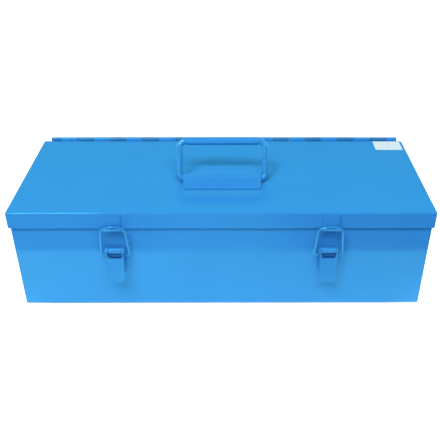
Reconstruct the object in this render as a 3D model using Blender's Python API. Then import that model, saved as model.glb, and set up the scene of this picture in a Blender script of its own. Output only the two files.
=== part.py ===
"""Painted sheet-steel tool case with a piano-hinged lid, a folding handle and two draw latches.

Metres, +Z up. X runs along the case, -Y is the front, and z = 0 is the surface it stands on.
"""

import math

import bmesh
import bpy
from mathutils import Vector

# Sizes of the whole case
LID_WIDTH = 0.480
LID_DEPTH = 0.182
CASE_HEIGHT = 0.1316
SKIRT_HEIGHT = 0.0205
LID_OVERHANG = 0.0026

# Sheet, bends and gaps
SHEET = 0.001
LID_BEND = 0.002
WALL_BEND = 0.003
PANEL_FLANGE = 0.012
RIM_CLEARANCE = 0.001
FIT_GAP = 0.0003

# Piano hinge
HINGE_LEFT_INSET = 0.0101
HINGE_RIGHT_INSET = 0.0069
HINGE_FIRST_KNUCKLE = 0.0127
KNUCKLE_LENGTH = 0.0218
KNUCKLE_GAP = 0.0005
HINGE_SHEET = 0.001
HINGE_PIN_RADIUS = 0.0017
HINGE_PIN_PLAY = 0.0003
HINGE_SETBACK = 0.0035
HINGE_LID_LEAF = 0.018
HINGE_BODY_LEAF = 0.020
HINGE_CURL = math.radians(290)

# Carrying handle and its bracket
HANDLE_AXIS_BACK = 0.0695
HANDLE_LEAN = math.radians(37)
HANDLE_REACH = 0.0451
HANDLE_SPAN = 0.1016
ROD_RADIUS = 0.0036
ROD_PLAY = 0.0011
ROD_FOOT_BEND = 0.0045
ROD_TOP_BEND = 0.008
ROD_END_GAP = 0.020
GRIP_PLAY = 0.0003
GRIP_WALL = 0.0009
BRACKET_SHEET = 0.0012
BRACKET_DEPTH = 0.0356
BRACKET_SLOPE = math.radians(55)
BRACKET_BEND = 0.0012
BRACKET_CORNER = 0.004

# Draw latches
LATCH_SPACING = 0.244
LATCH_SHEET = 0.0012
LATCH_PIVOT_DROP = 0.049
LATCH_ARM = 0.007
LATCH_OVER_CENTRE = math.radians(13.2)
LATCH_PIN_RADIUS = 0.0018
LATCH_PIN_PLAY = 0.0003
LATCH_HEAD_RIM = 0.0011
LATCH_HEAD_LENGTH = 0.0014
LATCH_BASE_DROP = 0.035
LATCH_CURL = math.radians(280)
LEVER_WIDTH = 0.0195
LEVER_EDGE = 0.0001
LEVER_EAR_GAP = 0.00045
LEVER_PIVOT_RIM = 0.0022
LEVER_SLEEVE_RIM = 0.001
LEVER_TOP_DROP = 0.0079
LEVER_TOP_OUT = 0.0046
LEVER_LENGTH = 0.039
LEVER_END_OUT = 0.0081
LEVER_FLANGE = 0.020
LEVER_CORNER = 0.004
LEVER_THROAT = 0.003
SLEEVE_WALL = 0.0005
SLEEVE_PLAY = 0.0003
SLEEVE_END = 0.0005
WIRE_RADIUS = 0.00125
WIRE_PLAY = 0.00025
WIRE_INSERT = 0.006
BAIL_FOOT_WIDTH = 0.0324
BAIL_TOP_WIDTH = 0.0272
BAIL_SHOULDER = 0.0359
BAIL_PITCH = math.radians(20)
BAIL_FOOT_BEND = 0.003
BAIL_SHOULDER_BEND = 0.006
BAIL_TOP_BEND = 0.020
HOOK_WIDTH = 0.0182
HOOK_TOP_INSET = 0.0022
HOOK_CROOK = 0.0025
HOOK_LIP = 0.0008

# Blank label
LABEL_WIDTH = 0.0353
LABEL_DEPTH = 0.0248
LABEL_THICKNESS = 0.0003
LABEL_EDGE = 0.0049
LABEL_BACK = 0.0025
LABEL_GAP = 0.0001

# Facets
BEND_STEPS = 4
CURL_STEPS = 14
ROUND_STEPS = 20
WIRE_STEPS = 12
SMOOTH_ANGLE = math.radians(40)

# Places that follow from the sizes
LID_FRONT = -LID_DEPTH / 2
LID_BACK = LID_DEPTH / 2
LID_UNDER = CASE_HEIGHT - SHEET
BODY_SIDE = LID_WIDTH / 2 - LID_OVERHANG
WALL_FRONT = LID_FRONT + LID_OVERHANG
HINGE_START = HINGE_LEFT_INSET - LID_WIDTH / 2
HINGE_END = LID_WIDTH / 2 - HINGE_RIGHT_INSET
CURL_RADIUS = HINGE_PIN_RADIUS + HINGE_PIN_PLAY + HINGE_SHEET / 2
HINGE_Y = LID_BACK + HINGE_SETBACK
LID_LEAF_Z = LID_UNDER - FIT_GAP - HINGE_SHEET / 2
HINGE_Z = LID_LEAF_Z + CURL_RADIUS
BODY_LEAF_Y = HINGE_Y - CURL_RADIUS
WALL_BACK = BODY_LEAF_Y - HINGE_SHEET / 2 - FIT_GAP
BACK_RIM = LID_LEAF_Z - HINGE_SHEET / 2 - RIM_CLEARANCE
BEAD_RADIUS = ROD_RADIUS + ROD_PLAY
HANDLE_Y = LID_FRONT + HANDLE_AXIS_BACK
HANDLE_Z = CASE_HEIGHT + FIT_GAP + BEAD_RADIUS
GRIP_BORE = ROD_RADIUS + GRIP_PLAY
BRACKET_END = HANDLE_SPAN / 2 - ROD_FOOT_BEND - FIT_GAP
SLEEVE_BORE = WIRE_RADIUS + WIRE_PLAY
SLEEVE_RADIUS = SLEEVE_BORE + SLEEVE_WALL
SLEEVE_Y = WALL_FRONT - LATCH_SHEET - 2 * FIT_GAP - SLEEVE_RADIUS
PIVOT_Y = SLEEVE_Y - LATCH_ARM * math.sin(LATCH_OVER_CENTRE)
PIVOT_Z = CASE_HEIGHT - LATCH_PIVOT_DROP
SLEEVE_Z = PIVOT_Z - LATCH_ARM * math.cos(LATCH_OVER_CENTRE)
PIVOT_BORE = LATCH_PIN_RADIUS + LATCH_PIN_PLAY
EAR_OUTSIDE = LEVER_WIDTH / 2 - LEVER_EDGE
EAR_INSIDE = EAR_OUTSIDE - LATCH_SHEET

# Finishes: a colour in linear light, how rough and how metallic it is
BLUE_PAINT = ((0.035, 0.270, 0.690), 0.38, 0.0)
BARE_STEEL = ((0.42, 0.42, 0.43), 0.4, 0.9)
WHITE_PAPER = ((0.86, 0.87, 0.88), 0.55, 0.0)


def clear_scene():
    for old in list(bpy.data.objects):
        bpy.data.objects.remove(old, do_unlink=True)


def finished(name, finish):
    """A plain material of one colour."""
    colour, roughness, metallic = finish
    material = bpy.data.materials.new(name)
    material.use_nodes = True
    shader = material.node_tree.nodes["Principled BSDF"]
    shader.inputs["Base Color"].default_value = (*colour, 1.0)
    shader.inputs["Roughness"].default_value = roughness
    shader.inputs["Metallic"].default_value = metallic
    return material


def place(name, mesh, origin=(0, 0, 0), finish=BLUE_PAINT):
    """Makes an object of a mesh drawn in world places, with its origin where it turns."""
    bmesh.ops.recalc_face_normals(mesh, faces=mesh.faces)
    bmesh.ops.translate(mesh, vec=-Vector(origin), verts=mesh.verts)
    data = bpy.data.meshes.new(name)
    mesh.to_mesh(data)
    mesh.free()
    for face in data.polygons:
        face.use_smooth = True
    data.set_sharp_from_angle(angle=SMOOTH_ANGLE)
    made = bpy.data.objects.new(name, data)
    made.location = origin
    bpy.context.scene.collection.objects.link(made)
    data.materials.append(finished(name, finish))
    return made


def helper(made):
    """Hides an object that only shapes another one."""
    made.hide_render = True
    made.display_type = "WIRE"
    return made


def combine(target, other, operation):
    """Joins or cuts a target with a hidden helper."""
    modifier = target.modifiers.new(operation.lower() + " " + other.name, "BOOLEAN")
    modifier.operation = operation
    modifier.solver = "EXACT"
    modifier.object = helper(other)


def arc(centre, radius, start, sweep, steps):
    """Points on a circle. Angles run from the first axis to the second."""
    return [
        (
            centre[0] + radius * math.cos(start + sweep * i / steps),
            centre[1] + radius * math.sin(start + sweep * i / steps),
        )
        for i in range(steps + 1)
    ]


def filleted(corners, radii, steps):
    """A path through corners, each rounded to its own radius."""
    path = []
    for i, (corner, radius) in enumerate(zip(corners, radii)):
        here = Vector(corner)
        if radius == 0:
            path.append(tuple(here))
            continue
        back = (Vector(corners[i - 1]) - here).normalized()
        ahead = (Vector(corners[i + 1]) - here).normalized()
        half = back.angle(ahead) / 2
        centre = here + (back + ahead).normalized() * (radius / math.sin(half))
        first = here + back * (radius / math.tan(half)) - centre
        turn = math.pi - 2 * half
        side = 1 if back.x * ahead.y - back.y * ahead.x < 0 else -1
        start = math.atan2(first.y, first.x)
        path += arc(tuple(centre), radius, start, side * turn, steps)
    return path


def both_sides(path, thickness):
    """The two faces of a sheet, from the middle line of its section."""
    pairs = []
    last = len(path) - 1
    for i in range(len(path)):
        here = Vector(path[i])
        into = (here - Vector(path[i - 1])).normalized() if i else None
        out = (Vector(path[i + 1]) - here).normalized() if i < last else into
        into = into or out
        normal = Vector((-into.y, into.x))
        mitre = (normal + Vector((-out.y, out.x))).normalized()
        reach = mitre * (thickness / 2 / mitre.dot(normal))
        pairs.append((tuple(here + reach), tuple(here - reach)))
    return pairs


def folded_sheet(path, thickness, stations, present=None):
    """A bent sheet: a section in YZ carried along X, with some of its cells left out."""
    pairs = both_sides(path, thickness)
    mesh = bmesh.new()
    known = {}

    def corner(i, j, side):
        if (i, j, side) not in known:
            known[i, j, side] = mesh.verts.new((stations[i], *pairs[j][side]))
        return known[i, j, side]

    cells = [
        (i, j)
        for i in range(len(stations) - 1)
        for j in range(len(path) - 1)
        if present is None or present(i, j)
    ]
    kept = set(cells)
    for i, j in cells:
        ring = [(i, j), (i + 1, j), (i + 1, j + 1), (i, j + 1)]
        mesh.faces.new([corner(*at, 0) for at in ring])
        mesh.faces.new([corner(*at, 1) for at in reversed(ring)])
        beside = [(i, j - 1), (i + 1, j), (i, j + 1), (i - 1, j)]
        for n, neighbour in enumerate(beside):
            if neighbour not in kept:
                a, b = ring[n], ring[(n + 1) % 4]
                mesh.faces.new([corner(*a, 0), corner(*a, 1), corner(*b, 1), corner(*b, 0)])
    return mesh


def round_corners(mesh, end, thickness, radius):
    """Rounds a sheet's two corners at one end of its section."""
    corners = [
        edge
        for edge in mesh.edges
        if all((Vector(vert.co.yz) - Vector(end)).length < thickness for vert in edge.verts)
        and edge.verts[0].co.x == edge.verts[1].co.x
    ]
    bmesh.ops.bevel(
        mesh,
        geom=corners,
        offset=radius,
        segments=BEND_STEPS,
        profile=0.5,
        affect="EDGES",
    )


def swept_rod(points, normal, radius, steps):
    """A round rod along a flat path in space, closed at both ends."""
    mesh = bmesh.new()
    rings = []
    last = len(points) - 1
    for i, point in enumerate(points):
        into = (point - points[i - 1]).normalized() if i else None
        out = (points[i + 1] - point).normalized() if i < last else into
        along = ((into or out) + out).normalized()
        across = normal.cross(along)
        ring = []
        for n in range(steps):
            turn = 2 * math.pi * n / steps
            reach = across * math.cos(turn) + normal * math.sin(turn)
            ring.append(mesh.verts.new(point + reach * radius))
        rings.append(ring)
    for first, second in zip(rings, rings[1:]):
        for n in range(steps):
            m = (n + 1) % steps
            mesh.faces.new([first[n], first[m], second[m], second[n]])
    mesh.faces.new(rings[0])
    mesh.faces.new(rings[-1])
    return mesh


def turned(profile, y, z, steps, hollow=False):
    """A round piece about a line along X, from (x, radius) points."""
    mesh = bmesh.new()
    rings = []
    for x, radius in profile:
        points = arc((y, z), radius, 0, 2 * math.pi, steps)[:-1]
        rings.append([mesh.verts.new((x, *point)) for point in points])
    closing = [rings[0]] if hollow else []
    for first, second in zip(rings, rings[1:] + closing):
        for n in range(steps):
            m = (n + 1) % steps
            mesh.faces.new([first[n], first[m], second[m], second[n]])
    if not hollow:
        mesh.faces.new(rings[0])
        mesh.faces.new(rings[-1])
    return mesh


def between(near_points, far_points):
    """A solid between two outlines with as many points."""
    mesh = bmesh.new()
    near = [mesh.verts.new(point) for point in near_points]
    far = [mesh.verts.new(point) for point in far_points]
    mesh.faces.new(near)
    mesh.faces.new(far)
    for n in range(len(near)):
        m = (n + 1) % len(near)
        mesh.faces.new([near[n], near[m], far[m], far[n]])
    return mesh


def flat_plate(outline, x0, x1):
    """A plate with an outline in YZ, between two places along X."""
    return between([(x0, *point) for point in outline], [(x1, *point) for point in outline])


def hull(points):
    """The convex outline round points in a plane."""
    ordered = sorted(set(points))
    sides = []
    for run in (ordered, ordered[::-1]):
        side = []
        for p in run:
            while len(side) > 1:
                (ax, ay), (bx, by) = side[-2], side[-1]
                if (bx - ax) * (p[1] - ay) - (by - ay) * (p[0] - ax) > 0:
                    break
                side.pop()
            side.append(p)
        sides += side[:-1]
    return sides


def block(low, high):
    """A box between two corners."""
    mesh = bmesh.new()
    bmesh.ops.create_cube(mesh, size=1)
    for vert in mesh.verts:
        for axis in range(3):
            vert.co[axis] = high[axis] if vert.co[axis] > 0 else low[axis]
    return mesh


def pressed_tray(name, low, high, closed, bare, radius):
    """A thin tray: a box with its closed side's edges rounded, open at the bare side and opposite closed.

    Closed and bare are unit directions. The wall's outside is the box.
    """
    mesh = block(low, high)
    mesh.normal_update()
    closed = Vector(closed)
    bare = Vector(bare)
    rounded = []
    for edge in mesh.edges:
        normals = [face.normal for face in edge.link_faces]
        if all(normal.dot(closed) > -0.5 and normal.dot(bare) < 0.5 for normal in normals):
            rounded.append(edge)
    bmesh.ops.bevel(
        mesh,
        geom=rounded,
        offset=radius,
        segments=BEND_STEPS,
        profile=0.5,
        affect="EDGES",
    )
    mesh.normal_update()
    opened = [
        face
        for face in mesh.faces
        if face.normal.dot(closed) < -0.99 or face.normal.dot(bare) > 0.99
    ]
    bmesh.ops.delete(mesh, geom=opened, context="FACES")
    made = place(name, mesh)
    skin = made.modifiers.new("sheet", "SOLIDIFY")
    skin.thickness = SHEET
    skin.offset = -1
    skin.use_even_offset = True
    return made


def make_body():
    middle = SHEET / 2
    corners = [
        (WALL_FRONT + middle, LID_UNDER - RIM_CLEARANCE),
        (WALL_FRONT + middle, middle),
        (WALL_BACK - middle, middle),
        (WALL_BACK - middle, BACK_RIM),
    ]
    bend = WALL_BEND - middle
    path = filleted(corners, [0, bend, bend, 0], BEND_STEPS)
    place("body_wrap", folded_sheet(path, SHEET, [-BODY_SIDE, BODY_SIDE]))
    reach = BODY_SIDE - PANEL_FLANGE
    front = WALL_FRONT + SHEET + FIT_GAP
    back = WALL_BACK - SHEET - FIT_GAP
    floor = SHEET + FIT_GAP
    for side, low, high, closed in (
        ("left", -BODY_SIDE, -reach, (-1, 0, 0)),
        ("right", reach, BODY_SIDE, (1, 0, 0)),
    ):
        pressed_tray(
            "end_panel_" + side,
            (low, front, floor),
            (high, back, BACK_RIM),
            closed,
            (0, 0, 1),
            WALL_BEND - SHEET,
        )


def make_lid():
    pressed_tray(
        "lid_shell",
        (-LID_WIDTH / 2, LID_FRONT, CASE_HEIGHT - SKIRT_HEIGHT),
        (LID_WIDTH / 2, LID_BACK, CASE_HEIGHT),
        (0, 0, 1),
        (0, 1, 0),
        LID_BEND,
    )
    right = LID_WIDTH / 2 - LABEL_EDGE
    back = LID_BACK - LABEL_BACK
    bottom = CASE_HEIGHT + LABEL_GAP
    label = block(
        (right - LABEL_WIDTH, back - LABEL_DEPTH, bottom),
        (right, back, bottom + LABEL_THICKNESS),
    )
    place("label", label, finish=WHITE_PAPER)


def knuckle_stations():
    """Where the knuckles meet along the hinge, from its left end."""
    meets = [HINGE_START]
    at = HINGE_START + HINGE_FIRST_KNUCKLE
    while at < HINGE_END - KNUCKLE_GAP:
        meets.append(at)
        at += KNUCKLE_LENGTH
    return meets + [HINGE_END]


def make_leaf(name, leaf_path, curl_path, first):
    """One hinge leaf. Its knuckles are every second one, counted from first."""
    meets = knuckle_stations()
    stations = [meets[0]]
    for meet in meets[1:-1]:
        stations += [meet - KNUCKLE_GAP / 2, meet + KNUCKLE_GAP / 2]
    stations.append(meets[-1])
    plate_cells = len(leaf_path) - 1

    def present(i, j):
        if j < plate_cells:
            return True
        return i % 2 == 0 and i // 2 % 2 == first

    place(name, folded_sheet(leaf_path + curl_path, HINGE_SHEET, stations, present))


def make_hinge():
    centre = (HINGE_Y, HINGE_Z)
    lid_edge = LID_BACK - FIT_GAP
    lid_leaf = [(LID_BACK - HINGE_LID_LEAF, LID_LEAF_Z), (lid_edge, LID_LEAF_Z)]
    lid_curl = arc(centre, CURL_RADIUS, -math.pi / 2, HINGE_CURL, CURL_STEPS)
    make_leaf("hinge_leaf_lid", lid_leaf, lid_curl, 0)
    body_leaf = [(BODY_LEAF_Y, BACK_RIM - HINGE_BODY_LEAF), (BODY_LEAF_Y, BACK_RIM)]
    body_curl = arc(centre, CURL_RADIUS, math.pi, -HINGE_CURL, CURL_STEPS)
    make_leaf("hinge_leaf_body", body_leaf, body_curl, 1)
    profile = [(x, HINGE_PIN_RADIUS) for x in (HINGE_START, HINGE_END)]
    pin = turned(profile, HINGE_Y, HINGE_Z, ROUND_STEPS)
    place("hinge_pin", pin, finish=BARE_STEEL)


def make_handle():
    low = CASE_HEIGHT + FIT_GAP + BRACKET_SHEET / 2
    bead = BEAD_RADIUS + BRACKET_SHEET / 2
    front = HANDLE_Y - BRACKET_DEPTH / 2
    # The bead's sides slope, and touch the round over the rod at this point.
    tangent = (HANDLE_Y - bead * math.sin(BRACKET_SLOPE), HANDLE_Z + bead * math.cos(BRACKET_SLOPE))
    foot = tangent[0] - (tangent[1] - low) / math.tan(BRACKET_SLOPE)
    rise = filleted([(front, low), (foot, low), tangent], [0, BRACKET_BEND, 0], BEND_STEPS)
    over = arc((HANDLE_Y, HANDLE_Z), bead, math.pi / 2 + BRACKET_SLOPE, -2 * BRACKET_SLOPE, CURL_STEPS)
    fall = [(2 * HANDLE_Y - y, z) for y, z in reversed(rise)]
    section = rise[:-1] + over + fall[1:]
    plate = folded_sheet(section, BRACKET_SHEET, [-BRACKET_END, BRACKET_END])
    round_corners(plate, section[0], BRACKET_SHEET, BRACKET_CORNER)
    round_corners(plate, section[-1], BRACKET_SHEET, BRACKET_CORNER)
    place("handle_bracket", plate)

    axis = (0, HANDLE_Y, HANDLE_Z)
    lean = Vector((0, math.sin(HANDLE_LEAN), math.cos(HANDLE_LEAN)))
    normal = Vector((1, 0, 0)).cross(lean)
    leg = HANDLE_SPAN / 2
    inner = ROD_END_GAP / 2
    corners = [
        (-inner, 0),
        (-leg, 0),
        (-leg, HANDLE_REACH),
        (leg, HANDLE_REACH),
        (leg, 0),
        (inner, 0),
    ]
    bends = [0, ROD_FOOT_BEND, ROD_TOP_BEND, ROD_TOP_BEND, ROD_FOOT_BEND, 0]
    path = filleted(corners, bends, BEND_STEPS + 1)
    points = [Vector(axis) + Vector((x, 0, 0)) + lean * up for x, up in path]
    rod = swept_rod(points, normal, ROD_RADIUS, ROUND_STEPS)
    place("handle_bail", rod, origin=axis)
    end = leg - ROD_TOP_BEND - FIT_GAP
    outside = GRIP_BORE + GRIP_WALL
    tube = [(-end, GRIP_BORE), (end, GRIP_BORE), (end, outside), (-end, outside)]
    bar = Vector(axis) + lean * HANDLE_REACH
    grip = turned(tube, bar.y, bar.z, ROUND_STEPS, hollow=True)
    place("handle_grip", grip, origin=axis)


def bail_hook_height():
    """How far above its pivot the wire is at the hook's ends, along the wire loop."""
    return BAIL_SHOULDER + (BAIL_TOP_WIDTH - HOOK_WIDTH) / 2 * math.tan(BAIL_PITCH)


def make_hook(side, x):
    strap_y = LID_FRONT - FIT_GAP - LATCH_SHEET / 2
    curl = HOOK_CROOK + LATCH_SHEET / 2
    crook_y = strap_y - curl
    reach = bail_hook_height()
    sunk = HOOK_CROOK - WIRE_RADIUS - FIT_GAP
    wire_z = SLEEVE_Z + math.sqrt(reach**2 - (SLEEVE_Y - crook_y) ** 2)
    crook_z = wire_z + sunk
    top = CASE_HEIGHT - HOOK_TOP_INSET
    path = [(strap_y, top)]
    path += arc((crook_y, crook_z), curl, 0, -math.pi, CURL_STEPS // 2)
    path.append((crook_y - curl, crook_z + HOOK_LIP))
    half = HOOK_WIDTH / 2
    place("latch_hook_" + side, folded_sheet(path, LATCH_SHEET, [x - half, x + half]))
    return math.asin((SLEEVE_Y - crook_y) / reach)


def make_base(side, x):
    plate_y = WALL_FRONT - FIT_GAP - LATCH_SHEET / 2
    curl = PIVOT_BORE + LATCH_SHEET / 2
    joggle = SLEEVE_Z + SLEEVE_RADIUS
    path = [(plate_y, PIVOT_Z - LATCH_BASE_DROP), (plate_y, joggle)]
    path += arc((PIVOT_Y, PIVOT_Z), curl, 0, LATCH_CURL, CURL_STEPS)
    half = EAR_INSIDE - LEVER_EAR_GAP
    place("latch_base_" + side, folded_sheet(path, LATCH_SHEET, [x - half, x + half]))
    head = EAR_OUTSIDE + FIT_GAP
    end = head + LATCH_HEAD_LENGTH
    widest = LATCH_PIN_RADIUS + LATCH_HEAD_RIM
    crown = LATCH_HEAD_LENGTH / 2
    profile = [
        (-end, widest - crown),
        (-end + crown, widest),
        (-head, widest),
        (-head, LATCH_PIN_RADIUS),
        (head, LATCH_PIN_RADIUS),
        (head, widest),
        (end - crown, widest),
        (end, widest - crown),
    ]
    pin = turned([(x + at, radius) for at, radius in profile], PIVOT_Y, PIVOT_Z, ROUND_STEPS)
    place("latch_pin_" + side, pin)


def throat_cutter(x, half, lip, down):
    """What opens a lever's face above its lip, with both lower corners rounded."""
    above = LEVER_THROAT + LATCH_SHEET
    corners = [(-half, above), (-half, 0), (half, 0), (half, above)]
    outline = filleted(corners, [0, LEVER_THROAT, LEVER_THROAT, 0], BEND_STEPS)
    through = Vector((-down.y, down.x)) * LATCH_SHEET
    near = [(x + across, *(lip - down * up - through)) for across, up in outline]
    far = [(x + across, *(lip - down * up + through)) for across, up in outline]
    return between(near, far)


def make_lever(side, x):
    pivot = (PIVOT_Y, PIVOT_Z)
    sleeve = (SLEEVE_Y, SLEEVE_Z)
    origin = (x, *pivot)
    lip = Vector((PIVOT_Y - LEVER_TOP_OUT, PIVOT_Z - LEVER_TOP_DROP))
    tip = Vector((PIVOT_Y - LEVER_END_OUT, PIVOT_Z - LEVER_LENGTH))
    down = (tip - lip).normalized()
    top = tuple(lip - down * LEVER_THROAT)
    flange = tuple(lip + down * LEVER_FLANGE)
    half = LEVER_WIDTH / 2
    web = folded_sheet([top, tuple(tip)], LATCH_SHEET, [x - half, x + half])
    round_corners(web, tip, LATCH_SHEET, LEVER_CORNER)
    lever = place("latch_lever_" + side, web, origin)
    throat = throat_cutter(x, EAR_INSIDE - LEVER_EDGE, lip, down)
    combine(lever, place("throat_" + side, throat, origin), "DIFFERENCE")
    sleeve_hole = SLEEVE_RADIUS + SLEEVE_PLAY
    outline = hull(
        arc(pivot, PIVOT_BORE + LEVER_PIVOT_RIM, 0, 2 * math.pi, ROUND_STEPS)[:-1]
        + arc(sleeve, sleeve_hole + LEVER_SLEEVE_RIM, 0, 2 * math.pi, ROUND_STEPS)[:-1]
        + [top, flange]
    )
    for hand, sign in (("outer", -1), ("inner", 1)):
        near = x + sign * EAR_INSIDE
        far = x + sign * EAR_OUTSIDE
        ear = place("ear_%s_%s" % (hand, side), flat_plate(outline, near, far), origin)
        combine(lever, ear, "UNION")
    for what, at, radius in (("pivot", pivot, PIVOT_BORE), ("sleeve", sleeve, sleeve_hole)):
        bore = turned([(x - LEVER_WIDTH, radius), (x + LEVER_WIDTH, radius)], *at, ROUND_STEPS)
        combine(lever, place("bore_%s_%s" % (what, side), bore, origin), "DIFFERENCE")


def make_wire(side, x, tilt):
    origin = (x, SLEEVE_Y, SLEEVE_Z)
    end = EAR_OUTSIDE + SLEEVE_END
    tube = [(-end, SLEEVE_BORE), (end, SLEEVE_BORE), (end, SLEEVE_RADIUS), (-end, SLEEVE_RADIUS)]
    shifted = [(x + at, radius) for at, radius in tube]
    sleeve = turned(shifted, SLEEVE_Y, SLEEVE_Z, ROUND_STEPS, hollow=True)
    place("latch_sleeve_" + side, sleeve, origin)
    foot = BAIL_FOOT_WIDTH / 2
    shoulder = BAIL_TOP_WIDTH / 2
    peak = BAIL_SHOULDER + shoulder * math.tan(BAIL_PITCH)
    inner = end - WIRE_INSERT
    corners = [
        (-inner, 0),
        (-foot, 0),
        (-shoulder, BAIL_SHOULDER),
        (0, peak),
        (shoulder, BAIL_SHOULDER),
        (foot, 0),
        (inner, 0),
    ]
    bends = [0, BAIL_FOOT_BEND, BAIL_SHOULDER_BEND, BAIL_TOP_BEND]
    path = filleted(corners, bends + bends[-2::-1], BEND_STEPS)
    up = Vector((0, -math.sin(tilt), math.cos(tilt)))
    normal = Vector((1, 0, 0)).cross(up)
    points = [Vector(origin) + Vector((across, 0, 0)) + up * along for across, along in path]
    place("latch_bail_" + side, swept_rod(points, normal, WIRE_RADIUS, WIRE_STEPS), origin)


def main():
    clear_scene()
    make_body()
    make_lid()
    make_hinge()
    make_handle()
    for side, x in (("left", -LATCH_SPACING / 2), ("right", LATCH_SPACING / 2)):
        tilt = make_hook(side, x)
        make_base(side, x)
        make_lever(side, x)
        make_wire(side, x, tilt)


main()
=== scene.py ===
"""Looks of the painted sheet-steel tool case: its finishes, edges, studio light and camera."""

import math

import bmesh
import bpy
from mathutils import Matrix, Vector

# Edges: the paint film rounds every cut and bent edge a little.
WELD_DISTANCE = 0.000004
SMOOTH_ANGLE = math.radians(34)
BEVEL_ANGLE = math.radians(40)
BEVEL_STEPS = 2
SHEET_EDGE = 0.00030
THIN_EDGE = 0.00018

# Pieces by their finish: the start of each name
DULL_PIECES = ("hinge_leaf_body", "latch_lever")
RODS = ("handle_bail", "latch_bail")
SHEETS = ("lid_shell", "body_wrap", "end_panel", "handle_bracket")

# Camera, fitted to the case's outline in the photograph (metres, degrees, lens and sensor in millimetres)
CAMERA_PLACE = (0.010778, -0.694752, 0.509919)
CAMERA_DOWN = 32.645
CAMERA_TURN = 0.442
CAMERA_ROLL = 0.191
CAMERA_LENS = 52.78
CAMERA_SENSOR = 36.0
CAMERA_SHIFT = (-0.0353, -0.0014)
CAMERA_CLIP = (0.01, 50.0)

# Noise of the finishes: scale per metre, detail and roughness
DRIFT = (11.0, 3.0, 0.5)
PATCHES = (160.0, 3.0, 0.6)
GLOSS = (26.0, 3.0, 0.5)
WAVE = (10.0, 1.0, 0.5)
PEEL = (620.0, 2.0, 0.5)
NIBS = (900.0, 0.0, 0.5)
STREAKS = (1.0, 3.0, 0.5)
CLOUDS = (190.0, 5.0, 0.65)
FIBRES = (1500.0, 3.0, 0.5)
MOTTLING = (3.0, 3.0, 0.5)

# The whole span of a share, and the middle of a noise's span
UNIT = (0.0, 1.0)
MIDDLE = (0.30, 0.70)

# Paint: a saturated sky blue with almost no red in it. Roughness runs from the first to the second value.
BLUE = (0.042, 0.292, 0.715, 1.0)
BLUE_DEEP = (0.040, 0.279, 0.700, 1.0)
# Lighter blue on sharp edges: partly thinner paint, partly a painted edge highlight.
BLUE_THIN_AND_HIGHLIGHT = (0.075, 0.390, 0.810, 1.0)
# Darker blue for the hinge's lid leaf: painted shade that makes every other knuckle look darker.
HINGE_SHADED_BLUE = (0.040, 0.215, 0.520, 1.0)
HINGE_SHADED_DEEP = (0.036, 0.195, 0.480, 1.0)
GLOSSY = (0.08, 0.12)
DULL = (0.30, 0.40)
FILM_IOR = 1.5
ROD_IOR = 1.85
FILM_SPECULAR = 1.0
FILM_TINT = (0.12, 0.88, 1.0, 1.0)

# Paint film: spans of the values in use, the radius of the lighter rim on sharp edges and the heights of
# the relief in metres. The lighter rim is partly thinner paint and partly a painted edge highlight.
DRIFT_SPAN = (0.32, 0.68)
RIM_RADIUS = 0.0011
RIM_SAMPLES = 6
RIM_SPAN = (0.985, 0.80)
PATCH_SPAN = (0.38, 0.66)
PATCH_SHARE = (0.12, 0.75)
WAVE_HEIGHT = 0.00025
PEEL_HEIGHT = 0.000012
NIB_SPAN = (0.82, 0.90)
NIB_HEIGHT = 0.00003

# Steel pin: its streaks are drawn out along X.
STEEL_DARK = (0.05, 0.06, 0.09, 1.0)
STEEL_LIGHT = (0.12, 0.13, 0.16, 1.0)
STEEL_ROUGHNESS = (0.28, 0.46)
STREAK_STRETCH = (12.0, 900.0, 900.0)
STREAK_HEIGHT = 0.00002

# Blank sticker
PAPER_DARK = (0.80, 0.82, 0.86, 1.0)
PAPER_LIGHT = (0.90, 0.91, 0.93, 1.0)
PAPER_ROUGHNESS = (0.42, 0.55)
FIBRE_HEIGHT = 0.00001

# Floor: its tone, and its own glow by the distance from the case's middle, beside the case and behind it.
# The glow beside and behind the case is painted light over the case's shadow on the floor.
FLOOR_DARK = (0.93, 0.93, 0.93, 1.0)
FLOOR_LIGHT = (0.95, 0.95, 0.95, 1.0)
FLOOR_ROUGHNESS = 0.9
FLOOR_SPECULAR = 0.1
FLOOR_GLOW = (1.0, 0.88, 0.85, 1.0)
FAR_SPAN = (0.22, 1.1)
FAR_GLOW = (0.21, 1.08)
SIDE_SPAN = (0.20, 0.26)
SIDE_SHADOW_FILL = (0.0, 0.70)
SIDE_START = (-0.13, -0.07)
REAR_SPAN = (0.08, 0.14)
REAR_SHADOW_FILL = (0.0, 0.35)

# Room light by its direction: stronger from behind the case, except from high up, and weak all round
ROOM = (0.16, 0.74, 0.84, 1.0)
BACK_SPAN = (0.0, 0.40)
BACK_LIGHT = (0.0, 0.70)
LOW_SPAN = (0.60, 0.80)
LOW_SHARE = (1.0, 0.0)
TOP_SPAN = (0.45, 1.0)
TOP_LIGHT = (0.06, 0.18)

# Softboxes: name, place and size in metres, brightness and colour. All of them face one point in the case.
WARM = (1.0, 0.99, 0.95)
COOL = (0.45, 0.72, 1.0)
LIGHT_AIM = (0.0, 0.0, 0.09)
KEY_LEFT = ("key_left", (-1.00, -1.10, 2.30), (0.75, 0.65), 16.0, WARM)
KEY_STRIP = ("key_strip", (0.0, -1.42, 2.30), (2.20, 0.95), 7.2, WARM)
KEY_RIGHT = ("key_right", (1.30, -0.90, 2.30), (0.60, 1.30), 3.0, COOL)
FRONT_FILL = ("front_fill", (-1.50, -1.50, 1.45), (0.40, 0.45), 6.5, COOL)

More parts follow.
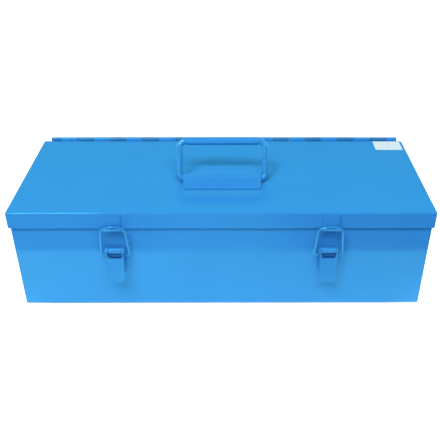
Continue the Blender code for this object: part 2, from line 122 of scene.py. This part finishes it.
# Set: name, reach along X, reach along Y and height of each flat piece, and the dome round it all (metres)
FLOOR = ("floor", (-6.0, 6.0), (-6.0, 6.0), -0.0002)
FLAG = ("flag", (-1.0, 1.0), (-0.9, -0.198), 0.0005)
CARDS = (
    ("shade_card_left", (-1.0, 0.07), (-0.9, -0.36), 0.0006),
    ("shade_card_right", (0.07, 1.0), (-0.9, -0.2), 0.0006),
)
FLAG_MIDDLE = (0.40, 0.45, 0.55, 1.0)
FLAG_SIDES = (0.04, 0.05, 0.16, 1.0)
FLAG_SPAN = (0.05, 0.15)
CARD_SHADE = (0.03, 0.05, 0.30, 1.0)
DOME_RADIUS = 5.9
DOME_STEPS = 4
WHITE = (1.0, 1.0, 1.0, 1.0)
BLACK = (0.0, 0.0, 0.0, 1.0)

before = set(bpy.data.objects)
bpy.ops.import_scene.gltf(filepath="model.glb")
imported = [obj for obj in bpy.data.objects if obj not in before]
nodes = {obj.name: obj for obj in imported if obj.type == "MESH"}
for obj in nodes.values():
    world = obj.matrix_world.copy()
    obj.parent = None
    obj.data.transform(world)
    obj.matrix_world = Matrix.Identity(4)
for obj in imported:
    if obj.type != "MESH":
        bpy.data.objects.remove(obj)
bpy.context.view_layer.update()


def link(tree, source, output, target, socket):
    tree.links.new(source.outputs[output], target.inputs[socket])


def add(tree, kind, **values):
    """A node with its properties and input sockets set by name."""
    node = tree.nodes.new(kind)
    for name, value in values.items():
        if hasattr(node, name):
            setattr(node, name, value)
        else:
            node.inputs[name].default_value = value
    return node


def calculate(tree, kind, operation, *sources):
    """A maths node of one operation on the given pairs of node and output."""
    node = add(tree, kind, operation=operation)
    for socket, (source, output) in enumerate(sources):
        link(tree, source, output, node, socket)
    return node


def noise(tree, coords, texture, output="Object"):
    scale, detail, rough = texture
    node = add(tree, "ShaderNodeTexNoise", Scale=scale, Detail=detail, Roughness=rough)
    link(tree, coords, output, node, "Vector")
    return node


def ramp(tree, source, output, span, result=UNIT):
    """Maps a value's span onto a result's, held at the ends."""
    low, high = span
    start, end = result
    node = tree.nodes.new("ShaderNodeMapRange")
    node.inputs["From Min"].default_value = low
    node.inputs["From Max"].default_value = high
    node.inputs["To Min"].default_value = start
    node.inputs["To Max"].default_value = end
    link(tree, source, output, node, "Value")
    return node


def mix(tree, factor, first, second):
    """A colour between two: each is a colour or a node whose colour it takes."""
    node = tree.nodes.new("ShaderNodeMixRGB")
    link(tree, *factor, node, "Fac")
    for socket, value in (("Color1", first), ("Color2", second)):
        if isinstance(value, tuple):
            node.inputs[socket].default_value = value
        else:
            link(tree, value, "Color", node, socket)
    return node


def bump(tree, height, output, distance, under=None):
    """Relief from a height, on top of the relief under it."""
    node = add(tree, "ShaderNodeBump", Strength=1.0, Distance=distance)
    link(tree, height, output, node, "Height")
    if under is not None:
        link(tree, under, "Normal", node, "Normal")
    return node


def split_place(tree, coords, output):
    """The X, Y and Z of a place or a direction."""
    split = tree.nodes.new("ShaderNodeSeparateXYZ")
    link(tree, coords, output, split, "Vector")
    return split


def new_material(name):
    material = bpy.data.materials.new(name)
    material.use_nodes = True
    tree = material.node_tree
    return material, tree, tree.nodes["Principled BSDF"]


def make_paint(name, deep, light, roughness, ior=FILM_IOR):
    """Sprayed enamel: slow shade drift, orange peel, a few dust nibs, and sharp edges painted lighter,
    partly a thinner film and partly a painted edge highlight.
    """
    material, tree, shader = new_material(name)
    coords = tree.nodes.new("ShaderNodeTexCoord")

    drift = ramp(tree, noise(tree, coords, DRIFT), "Fac", DRIFT_SPAN)
    body = mix(tree, (drift, "Result"), deep, light)

    geometry = tree.nodes.new("ShaderNodeNewGeometry")
    rounded = add(tree, "ShaderNodeBevel", samples=RIM_SAMPLES, Radius=RIM_RADIUS)
    normals = ((rounded, "Normal"), (geometry, "Normal"))
    match = calculate(tree, "ShaderNodeVectorMath", "DOT_PRODUCT", *normals)
    rim = ramp(tree, match, "Value", RIM_SPAN)
    patch = ramp(tree, noise(tree, coords, PATCHES), "Fac", PATCH_SPAN, PATCH_SHARE)
    # Sharp edges painted lighter: partly a thinner film, partly a painted edge highlight.
    thin_and_highlight_edge = calculate(tree, "ShaderNodeMath", "MULTIPLY", (rim, "Result"), (patch, "Result"))
    colour = mix(tree, (thin_and_highlight_edge, "Value"), body, BLUE_THIN_AND_HIGHLIGHT)
    link(tree, colour, "Color", shader, "Base Color")

    gloss = ramp(tree, noise(tree, coords, GLOSS), "Fac", MIDDLE, roughness)
    link(tree, gloss, "Result", shader, "Roughness")

    wave = bump(tree, noise(tree, coords, WAVE), "Fac", WAVE_HEIGHT)
    peel = bump(tree, noise(tree, coords, PEEL), "Fac", PEEL_HEIGHT, wave)
    nibs = ramp(tree, noise(tree, coords, NIBS), "Fac", NIB_SPAN)
    nib = bump(tree, nibs, "Result", NIB_HEIGHT, peel)
    link(tree, nib, "Normal", shader, "Normal")
    shader.inputs["IOR"].default_value = ior
    shader.inputs["Specular IOR Level"].default_value = FILM_SPECULAR
    shader.inputs["Specular Tint"].default_value = FILM_TINT
    return material


def make_steel():
    """Drawn steel wire: fine streaks along its length and a dark, dull tone."""
    material, tree, shader = new_material("drawn_steel")
    coords = tree.nodes.new("ShaderNodeTexCoord")
    along = add(tree, "ShaderNodeMapping", Scale=STREAK_STRETCH)
    link(tree, coords, "Object", along, "Vector")
    streak = noise(tree, along, STREAKS, "Vector")
    tone = ramp(tree, streak, "Fac", MIDDLE)
    colour = mix(tree, (tone, "Result"), STEEL_DARK, STEEL_LIGHT)
    link(tree, colour, "Color", shader, "Base Color")
    rough = ramp(tree, streak, "Fac", MIDDLE, STEEL_ROUGHNESS)
    link(tree, rough, "Result", shader, "Roughness")
    grain = bump(tree, streak, "Fac", STREAK_HEIGHT)
    link(tree, grain, "Normal", shader, "Normal")
    shader.inputs["Metallic"].default_value = 1.0
    return material


def make_paper():
    """A blank coated sticker: slightly cloudy, with faint fibres."""
    material, tree, shader = new_material("blank_sticker")
    coords = tree.nodes.new("ShaderNodeTexCoord")
    cloud = ramp(tree, noise(tree, coords, CLOUDS), "Fac", MIDDLE)
    colour = mix(tree, (cloud, "Result"), PAPER_DARK, PAPER_LIGHT)
    link(tree, colour, "Color", shader, "Base Color")
    rough = ramp(tree, cloud, "Result", UNIT, PAPER_ROUGHNESS)
    link(tree, rough, "Result", shader, "Roughness")
    fibre = bump(tree, noise(tree, coords, FIBRES), "Fac", FIBRE_HEIGHT)
    link(tree, fibre, "Normal", shader, "Normal")
    return material


def make_floor():
    """A pale floor with a very slight mottling. Its own glow keeps it white away from the case, and beside
    and behind the case the glow is painted light over the case's shadow.
    """
    material, tree, shader = new_material("pale_floor")
    coords = tree.nodes.new("ShaderNodeTexCoord")
    cloud = ramp(tree, noise(tree, coords, MOTTLING), "Fac", MIDDLE)
    colour = mix(tree, (cloud, "Result"), FLOOR_DARK, FLOOR_LIGHT)
    link(tree, colour, "Color", shader, "Base Color")
    shader.inputs["Roughness"].default_value = FLOOR_ROUGHNESS
    shader.inputs["Specular IOR Level"].default_value = FLOOR_SPECULAR
    shader.inputs["Emission Color"].default_value = FLOOR_GLOW

    distance = calculate(tree, "ShaderNodeVectorMath", "LENGTH", (coords, "Object"))
    far = ramp(tree, distance, "Value", FAR_SPAN, FAR_GLOW)
    split = split_place(tree, coords, "Object")
    # Beside and behind the case the glow is painted light over the case's shadow.
    aside = calculate(tree, "ShaderNodeMath", "ABSOLUTE", (split, "X"))
    outer = ramp(tree, aside, "Value", SIDE_SPAN, SIDE_SHADOW_FILL)
    beside = ramp(tree, split, "Y", SIDE_START)
    terms = ((outer, "Result"), (beside, "Result"), (far, "Result"))
    lit = calculate(tree, "ShaderNodeMath", "MULTIPLY_ADD", *terms)
    behind = ramp(tree, split, "Y", REAR_SPAN, REAR_SHADOW_FILL)
    glow = calculate(tree, "ShaderNodeMath", "ADD", (lit, "Value"), (behind, "Result"))
    link(tree, glow, "Value", shader, "Emission Strength")
    return material


def make_flag():
    """The dark card that the upper front wall mirrors, paler in its middle."""
    material, tree, shader = new_material("black_card")
    coords = tree.nodes.new("ShaderNodeTexCoord")
    split = split_place(tree, coords, "Object")
    aside = calculate(tree, "ShaderNodeMath", "ABSOLUTE", (split, "X"))
    fade = ramp(tree, aside, "Value", FLAG_SPAN)
    shade = mix(tree, (fade, "Result"), FLAG_MIDDLE, FLAG_SIDES)
    link(tree, shade, "Color", shader, "Base Color")
    return material


def make_card():
    """The dark cards that take floor light from the front wall."""
    material, _, shader = new_material("shade_card")
    shader.inputs["Base Color"].default_value = CARD_SHADE
    return material


def make_white():
    """The white round the set, which only the camera sees."""
    material, _, shader = new_material("white_surround")
    shader.inputs["Base Color"].default_value = BLACK
    shader.inputs["Specular IOR Level"].default_value = 0.0
    shader.inputs["Emission Color"].default_value = WHITE
    shader.inputs["Emission Strength"].default_value = 1.0
    return material


def smoothing_group():
    """Geometry nodes that shade smoothly across shallow edges only."""
    tree = bpy.data.node_groups.new("smooth_by_angle", "GeometryNodeTree")
    tree.interface.new_socket("Mesh", in_out="INPUT", socket_type="NodeSocketGeometry")
    tree.interface.new_socket("Mesh", in_out="OUTPUT", socket_type="NodeSocketGeometry")
    start = tree.nodes.new("NodeGroupInput")
    end = tree.nodes.new("NodeGroupOutput")
    angle = tree.nodes.new("GeometryNodeInputMeshEdgeAngle")
    sharp = tree.nodes.new("FunctionNodeCompare")
    sharp.inputs[1].default_value = SMOOTH_ANGLE
    link(tree, angle, "Unsigned Angle", sharp, 0)
    normal = tree.nodes.new("GeometryNodeSetMeshNormal")
    normal.inputs["Remove Custom"].default_value = True
    link(tree, start, 0, normal, "Mesh")
    link(tree, sharp, "Result", normal, "Edge Sharpness")
    link(tree, normal, "Mesh", end, 0)
    return tree


def coat(name, material):
    """Gives a CAD node one finish."""
    node = nodes[name]
    node.data.materials.clear()
    node.data.materials.append(material)
    return node


def dress(name, material, edge, smoothing):
    """Gives a CAD node its finish, rounds its edges, smooths its bends and keeps its flat faces flat."""
    node = coat(name, material)
    weld = node.modifiers.new("weld", "WELD")
    weld.merge_threshold = WELD_DISTANCE
    bevel = node.modifiers.new("paint_edge", "BEVEL")
    bevel.width = edge
    bevel.segments = BEVEL_STEPS
    bevel.limit_method = "ANGLE"
    bevel.angle_limit = BEVEL_ANGLE
    smooth = node.modifiers.new("smooth", "NODES")
    smooth.node_group = smoothing
    flat = node.modifiers.new("flat_faces", "WEIGHTED_NORMAL")
    flat.keep_sharp = True


def dress_all():
    """Gives every CAD node its finish."""
    smoothing = smoothing_group()
    paint = make_paint("blue_enamel", BLUE_DEEP, BLUE, GLOSSY)
    rod_paint = make_paint("rod_enamel", BLUE_DEEP, BLUE, GLOSSY, ROD_IOR)
    dull_paint = make_paint("dull_enamel", BLUE_DEEP, BLUE, DULL)
    # The hinge's lid leaf is painted darker: painted shade on every other knuckle.
    hinge_shaded_paint = make_paint("hinge_enamel_painted_shade", HINGE_SHADED_DEEP, HINGE_SHADED_BLUE, DULL)
    steel = make_steel()
    paper = make_paper()
    for name in nodes:
        if name == "label":
            coat(name, paper)
        elif name == "hinge_pin":
            dress(name, steel, THIN_EDGE, smoothing)
        # Painted shade: the lid leaf's knuckles get the darker blue.
        elif name == "hinge_leaf_lid":
            dress(name, hinge_shaded_paint, THIN_EDGE, smoothing)
        elif name.startswith(DULL_PIECES):
            dress(name, dull_paint, THIN_EDGE, smoothing)
        elif name.startswith(RODS):
            dress(name, rod_paint, THIN_EDGE, smoothing)
        elif name.startswith(SHEETS):
            dress(name, paint, SHEET_EDGE, smoothing)
        else:
            dress(name, paint, THIN_EDGE, smoothing)


def make_camera():
    data = bpy.data.cameras.new("camera")
    camera = bpy.data.objects.new("camera", data)
    bpy.context.scene.collection.objects.link(camera)
    data.sensor_width = CAMERA_SENSOR
    data.lens = CAMERA_LENS
    data.shift_x, data.shift_y = CAMERA_SHIFT
    data.clip_start, data.clip_end = CAMERA_CLIP
    down, turn, roll = (math.radians(angle) for angle in (CAMERA_DOWN, CAMERA_TURN, CAMERA_ROLL))
    level = math.cos(down)
    forward = Vector((math.sin(turn) * level, math.cos(turn) * level, -math.sin(down)))
    right = Vector((math.cos(turn), -math.sin(turn), 0.0))
    up = right.cross(forward)
    across = right * math.cos(roll) + up * math.sin(roll)
    upright = up * math.cos(roll) - right * math.sin(roll)
    place = Matrix((across, upright, -forward)).transposed().to_4x4()
    place.translation = Vector(CAMERA_PLACE)
    camera.matrix_world = place
    bpy.context.scene.camera = camera


def make_room():
    """Light from all round, which depends on its direction alone."""
    world = bpy.data.worlds.new("studio")
    bpy.context.scene.world = world
    world.use_nodes = True
    tree = world.node_tree
    background = tree.nodes["Background"]
    background.inputs["Color"].default_value = ROOM
    coords = tree.nodes.new("ShaderNodeTexCoord")
    split = split_place(tree, coords, "Generated")
    behind = ramp(tree, split, "Y", BACK_SPAN, BACK_LIGHT)
    low = ramp(tree, split, "Z", LOW_SPAN, LOW_SHARE)
    above = ramp(tree, split, "Z", TOP_SPAN, TOP_LIGHT)
    terms = ((behind, "Result"), (low, "Result"), (above, "Result"))
    strength = calculate(tree, "ShaderNodeMath", "MULTIPLY_ADD", *terms)
    link(tree, strength, "Value", background, "Strength")


def softbox(name, place, size, radiance, colour):
    """A rectangular light of a given brightness, turned towards the case."""
    width, depth = size
    data = bpy.data.lights.new(name, "AREA")
    data.shape = "RECTANGLE"
    data.size = width
    data.size_y = depth
    data.energy = radiance * math.pi * width * depth
    data.color = colour
    light = bpy.data.objects.new(name, data)
    bpy.context.scene.collection.objects.link(light)
    light.location = place
    away = (Vector(place) - Vector(LIGHT_AIM)).normalized()
    across = Vector((0.0, 1.0, 0.0)).cross(away).normalized()
    light.rotation_euler = Matrix((across, away.cross(across), away)).transposed().to_euler()
    return light


def stage_sheet(name, across, along, height, material):
    """A flat piece of the set."""
    (left, right), (near, far) = across, along
    mesh = bpy.data.meshes.new(name)
    corners = [(left, near, 0.0), (right, near, 0.0), (right, far, 0.0), (left, far, 0.0)]
    mesh.from_pydata(corners, [], [(0, 1, 2, 3)])
    mesh.materials.append(material)
    sheet = bpy.data.objects.new(name, mesh)
    sheet.location.z = height
    bpy.context.scene.collection.objects.link(sheet)
    return sheet


def make_dome():
    """A shell round the whole set, white to the camera."""
    shell = bmesh.new()
    bmesh.ops.create_icosphere(shell, subdivisions=DOME_STEPS, radius=DOME_RADIUS)
    mesh = bpy.data.meshes.new("dome")
    shell.to_mesh(mesh)
    shell.free()
    dome = bpy.data.objects.new("dome", mesh)
    bpy.context.scene.collection.objects.link(dome)
    mesh.materials.append(make_white())
    dome.visible_diffuse = False
    dome.visible_glossy = False
    dome.visible_shadow = False


def make_studio():
    """The room, the softboxes and the set."""
    bpy.context.scene.view_settings.view_transform = "Standard"
    make_room()
    softbox(*KEY_LEFT)
    strip = softbox(*KEY_STRIP)
    strip.visible_glossy = False
    softbox(*KEY_RIGHT)
    softbox(*FRONT_FILL)

    stage_sheet(*FLOOR, make_floor())
    flag = stage_sheet(*FLAG, make_flag())
    flag.visible_camera = False
    flag.visible_diffuse = False
    flag.visible_shadow = False
    dark = make_card()
    for values in CARDS:
        card = stage_sheet(*values, dark)
        card.visible_camera = False
        card.visible_glossy = False
        card.visible_shadow = False
    make_dome()


dress_all()
make_camera()
make_studio()
